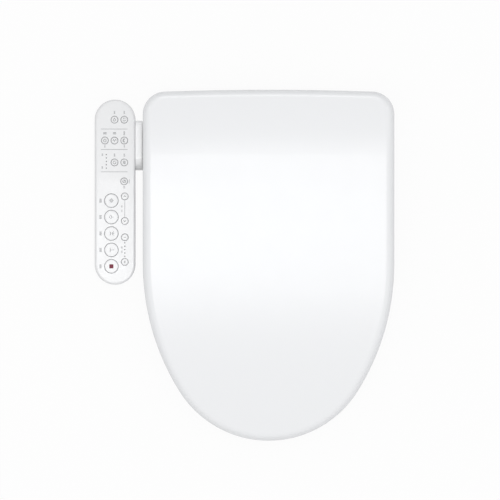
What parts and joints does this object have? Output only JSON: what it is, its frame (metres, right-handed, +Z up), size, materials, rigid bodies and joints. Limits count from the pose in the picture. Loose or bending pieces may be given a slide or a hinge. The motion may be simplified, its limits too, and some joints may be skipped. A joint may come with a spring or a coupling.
{
  "type": "electric bidet seat",
  "caption": "Elongated toilet seat with full-cover lid, side control panel, retractable wash nozzles, warm-air dryer and slide-on mounting plate.",
  "frame": {"origin": "midway between the two toilet bolt holes, on the plane of the bowl rim", "axes": "+Z up, +Y towards the rear of the toilet, front of the seat towards -Y, control panel on the -X side"},
  "size_m": [0.451, 0.528, 0.105],
  "materials": {
    "lid_white": "gloss moulded polypropylene",
    "seat_white": "gloss moulded polypropylene",
    "case_white": "satin gloss moulded plastic",
    "panel_white": "gloss membrane panel",
    "key_white": "satin key caps",
    "rubber_grey": "soft matt rubber",
    "plate_grey": "matt moulded plastic",
    "inner_plastic": "matt moulded plastic",
    "nozzle_white": "gloss moulded plastic",
    "nozzle_tip_grey": "gloss moulded plastic",
    "gear_white": "acetal",
    "motor_steel": "zinc plated",
    "damper_black": "matt moulded plastic",
    "board_green": "solder resist",
    "heater_metal": "bare",
    "inlet_metal": "plated brass",
    "hose_clear": "silicone tube",
    "light_clear": "frosted light pipe"
  },
  "bodies": {
    "mount": {"mounting_plate": "plate_grey", "plate_adjusters": "plate_grey"},
    "main_unit": {"base_case": "case_white", "upper_case": "case_white", "base_feet": "rubber_grey", "water_inlet": "inlet_metal", "solenoid_valve": "inner_plastic", "water_heater": "inner_plastic", "water_hoses": "hose_clear", "nozzle_housing": "inner_plastic", "nozzle_motors": "motor_steel", "blower_housing": "inner_plastic", "blower_motor": "motor_steel", "air_heater": "heater_metal", "control_board": "board_green", "power_gland": "inner_plastic", "seat_damper": "damper_black", "lid_damper": "damper_black", "panel_case": "case_white", "panel_fascia": "panel_white", "panel_board": "board_green", "indicator_lights": "light_clear"},
    "seat": {"seat_top": "seat_white", "seat_bottom": "seat_white", "seat_heater": "heater_metal", "seat_bumpers": "rubber_grey", "seat_damper_shaft": "motor_steel"},
    "lid": {"lid_shell": "lid_white", "lid_bumpers": "rubber_grey", "lid_damper_shaft": "motor_steel"},
    "rear_wand": {"rear_nozzle": "nozzle_white", "rear_nozzle_tip": "nozzle_tip_grey"},
    "front_wand": {"front_nozzle": "nozzle_white", "front_nozzle_tip": "nozzle_tip_grey"},
    "rear_gear": {"rear_pinion": "gear_white"},
    "front_gear": {"front_pinion": "gear_white"},
    "gate": {"nozzle_gate": "case_white"},
    "flap": {"dryer_flap": "case_white"},
    "impeller": {"blower_impeller": "gear_white"},
    "release": {"release_button": "case_white"},
    "dry_button": {"dry_key": "key_white"},
    "massage_button": {"massage_key": "key_white"},
    "front_wash_button": {"front_wash_key": "key_white"},
    "rear_wash_button": {"rear_wash_key": "key_white"},
    "stop_button": {"stop_key": "key_white"},
    "water_heat_button": {"water_heat_key": "key_white"},
    "seat_heat_button": {"seat_heat_key": "key_white"},
    "power_button": {"power_key": "key_white"},
    "pulse_button": {"pulse_key": "key_white"},
    "eco_button": {"eco_key": "key_white"},
    "nozzle_clean_button": {"nozzle_clean_key": "key_white"},
    "air_heat_button": {"air_heat_key": "key_white"},
    "child_wash_button": {"child_wash_key": "key_white"},
    "nozzle_back_button": {"nozzle_back_key": "key_white"},
    "nozzle_forward_button": {"nozzle_forward_key": "key_white"},
    "pressure_down_button": {"pressure_down_key": "key_white"},
    "pressure_up_button": {"pressure_up_key": "key_white"}
  },
  "joints": [
    {"name": "release_slide", "type": "slide", "parent": "mount", "child": "main_unit", "axis": [0, -1, 0], "range_m": [0, 0.06]},
    {"name": "seat_hinge", "type": "hinge", "parent": "main_unit", "child": "seat", "pos_m": [0, 0.018, 0.06], "axis": [1, 0, 0], "range_deg": [-105, 0]},
    {"name": "lid_hinge", "type": "hinge", "parent": "seat", "child": "lid", "pos_m": [0, 0.018, 0.06], "axis": [-1, 0, 0], "range_deg": [0, 100]},
    {"name": "rear_nozzle_slide", "type": "slide", "parent": "main_unit", "child": "rear_wand", "axis": [0, -0.8829, -0.4695], "range_m": [0, 0.072]},
    {"name": "front_nozzle_slide", "type": "slide", "parent": "main_unit", "child": "front_wand", "axis": [0, -0.8829, -0.4695], "range_m": [0, 0.085]},
    {"name": "rear_pinion_spin", "type": "hinge", "parent": "main_unit", "child": "rear_gear", "pos_m": [-0.0285, -0.05081, 0.02427], "axis": [0, -0.4695, 0.8829], "range_deg": [-690, 0]},
    {"name": "front_pinion_spin", "type": "hinge", "parent": "main_unit", "child": "front_gear", "pos_m": [0.0285, -0.05081, 0.02427], "axis": [0, -0.4695, 0.8829], "range_deg": [0, 815]},
    {"name": "gate_hinge", "type": "hinge", "parent": "main_unit", "child": "gate", "pos_m": [0, -0.077, 0.025], "axis": [-1, 0, 0], "range_deg": [0, 80]},
    {"name": "dryer_flap_hinge", "type": "hinge", "parent": "main_unit", "child": "flap", "pos_m": [-0.078, -0.077, 0.025], "axis": [-1, 0, 0], "range_deg": [0, 75]},
    {"name": "impeller_spin", "type": "hinge", "parent": "main_unit", "child": "impeller", "pos_m": [-0.078, -0.033, 0.043], "axis": [0, 0, 1], "continuous": true},
    {"name": "release_press", "type": "slide", "parent": "main_unit", "child": "release", "axis": [-1, 0, 0], "range_m": [0, 0.003], "stiffness_N_per_m": 200, "springref_m": -0.002},
    {"name": "dry_press", "type": "slide", "parent": "main_unit", "child": "dry_button", "axis": [0, 0, -1], "range_m": [0, 0.0008], "stiffness_N_per_m": 150, "springref_m": -0.001},
    {"name": "massage_press", "type": "slide", "parent": "main_unit", "child": "massage_button", "axis": [0, 0, -1], "range_m": [0, 0.0008], "stiffness_N_per_m": 150, "springref_m": -0.001},
    {"name": "front_wash_press", "type": "slide", "parent": "main_unit", "child": "front_wash_button", "axis": [0, 0, -1], "range_m": [0, 0.0008], "stiffness_N_per_m": 150, "springref_m": -0.001},
    {"name": "rear_wash_press", "type": "slide", "parent": "main_unit", "child": "rear_wash_button", "axis": [0, 0, -1], "range_m": [0, 0.0008], "stiffness_N_per_m": 150, "springref_m": -0.001},
    {"name": "stop_press", "type": "slide", "parent": "main_unit", "child": "stop_button", "axis": [0, 0, -1], "range_m": [0, 0.0008], "stiffness_N_per_m": 150, "springref_m": -0.001},
    {"name": "water_heat_press", "type": "slide", "parent": "main_unit", "child": "water_heat_button", "axis": [0, 0, -1], "range_m": [0, 0.0008], "stiffness_N_per_m": 150, "springref_m": -0.001},
    {"name": "seat_heat_press", "type": "slide", "parent": "main_unit", "child": "seat_heat_button", "axis": [0, 0, -1], "range_m": [0, 0.0008], "stiffness_N_per_m": 150, "springref_m": -0.001},
    {"name": "power_press", "type": "slide", "parent": "main_unit", "child": "power_button", "axis": [0, 0, -1], "range_m": [0, 0.0008], "stiffness_N_per_m": 150, "springref_m": -0.001},
    {"name": "pulse_press", "type": "slide", "parent": "main_unit", "child": "pulse_button", "axis": [0, 0, -1], "range_m": [0, 0.0008], "stiffness_N_per_m": 150, "springref_m": -0.001},
    {"name": "eco_press", "type": "slide", "parent": "main_unit", "child": "eco_button", "axis": [0, 0, -1], "range_m": [0, 0.0008], "stiffness_N_per_m": 150, "springref_m": -0.001},
    {"name": "nozzle_clean_press", "type": "slide", "parent": "main_unit", "child": "nozzle_clean_button", "axis": [0, 0, -1], "range_m": [0, 0.0008], "stiffness_N_per_m": 150, "springref_m": -0.001},
    {"name": "air_heat_press", "type": "slide", "parent": "main_unit", "child": "air_heat_button", "axis": [0, 0, -1], "range_m": [0, 0.0008], "stiffness_N_per_m": 150, "springref_m": -0.001},
    {"name": "child_wash_press", "type": "slide", "parent": "main_unit", "child": "child_wash_button", "axis": [0, 0, -1], "range_m": [0, 0.0008], "stiffness_N_per_m": 150, "springref_m": -0.001},
    {"name": "nozzle_back_press", "type": "slide", "parent": "main_unit", "child": "nozzle_back_button", "axis": [0, 0, -1], "range_m": [0, 0.0008], "stiffness_N_per_m": 150, "springref_m": -0.001},
    {"name": "nozzle_forward_press", "type": "slide", "parent": "main_unit", "child": "nozzle_forward_button", "axis": [0, 0, -1], "range_m": [0, 0.0008], "stiffness_N_per_m": 150, "springref_m": -0.001},
    {"name": "pressure_down_press", "type": "slide", "parent": "main_unit", "child": "pressure_down_button", "axis": [0, 0, -1], "range_m": [0, 0.0008], "stiffness_N_per_m": 150, "springref_m": -0.001},
    {"name": "pressure_up_press", "type": "slide", "parent": "main_unit", "child": "pressure_up_button", "axis": [0, 0, -1], "range_m": [0, 0.0008], "stiffness_N_per_m": 150, "springref_m": -0.001}
  ],
  "couplings": [
    {"joint": "rear_pinion_spin", "follows": "rear_nozzle_slide", "rad_per_m": -166.67},
    {"joint": "front_pinion_spin", "follows": "front_nozzle_slide", "rad_per_m": 166.67}
  ]
}
